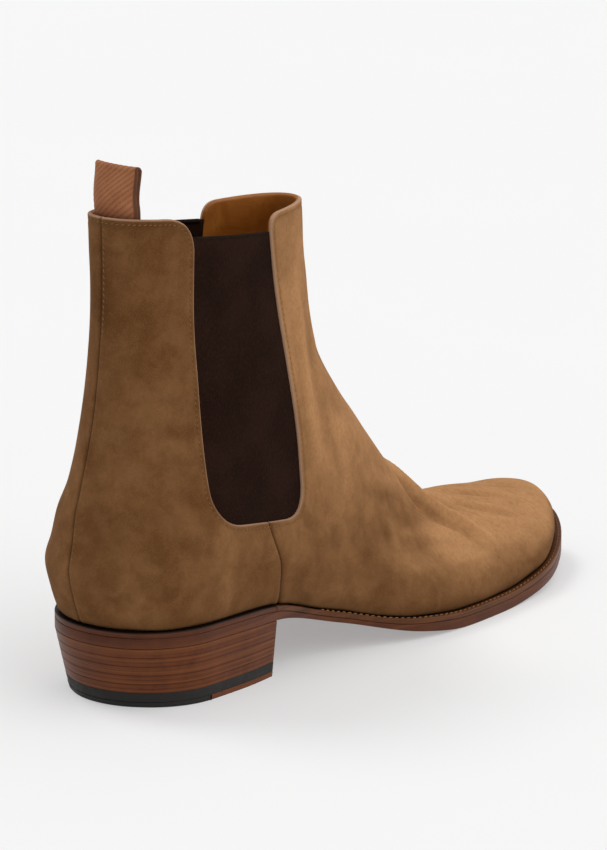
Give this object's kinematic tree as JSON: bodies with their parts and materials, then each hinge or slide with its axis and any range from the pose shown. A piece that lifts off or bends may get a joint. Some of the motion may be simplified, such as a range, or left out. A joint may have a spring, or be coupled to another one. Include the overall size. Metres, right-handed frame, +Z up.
{
  "type": "chelsea boot",
  "caption": "Right ankle boot in suede, pulled on by a back loop, with elastic gores at both sides, a welted leather sole and a stacked heel.",
  "frame": {"origin": "on the floor, under the middle of the boot's bounding box", "axes": "+Z up, -Y towards the toe, -X towards the lateral (outer) side"},
  "size_m": [0.1032, 0.3082, 0.2235],
  "materials": {
    "suede": "tan suede, napped",
    "elastic": "dark brown ribbed elastic",
    "tape": "red-brown woven twill tape",
    "lining": "smooth tan calf lining",
    "sole_leather": "burnished brown sole leather",
    "heel_leather": "stained and waxed stacked leather",
    "heel_rubber": "black moulded rubber"
  },
  "bodies": {
    "root": {"upper": "suede", "gore_lateral": "elastic", "gore_medial": "elastic", "pull_loop": "tape", "insole": "lining", "welt": "sole_leather", "heel_rand": "sole_leather", "outsole": "sole_leather", "heel_lift_1": "heel_leather", "heel_lift_2": "heel_leather", "heel_lift_3": "heel_leather", "heel_lift_4": "heel_leather", "heel_lift_5": "heel_leather", "top_piece_rubber": "heel_rubber", "top_piece_leather": "heel_leather"}
  },
  "joints": []
}
